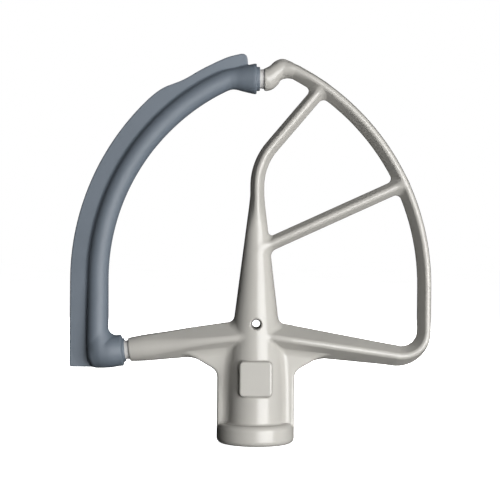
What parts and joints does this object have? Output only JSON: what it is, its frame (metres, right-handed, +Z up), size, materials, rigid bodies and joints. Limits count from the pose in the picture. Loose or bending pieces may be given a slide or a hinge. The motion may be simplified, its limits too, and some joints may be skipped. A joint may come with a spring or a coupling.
{
  "type": "stand mixer flat beater",
  "caption": "Flat mixing beater: cast frame with a round socket hub, spine, cross bars and curved rim, and a soft wiping blade moulded along one side.",
  "frame": {"origin": "centre of the hub's open end face, on the axis of the shaft socket", "axes": "+Z up the hub axis, away from the mixer shaft; the beater lies in the XZ plane with the soft edge on the -X side; -Y is the face with the raised pad"},
  "size_m": [0.1626, 0.0348, 0.1747],
  "materials": {
    "coated_casting": "satin",
    "soft_edge": "matte"
  },
  "bodies": {
    "root": {"beater_frame": "coated_casting", "flex_edge": "soft_edge"}
  },
  "joints": []
}
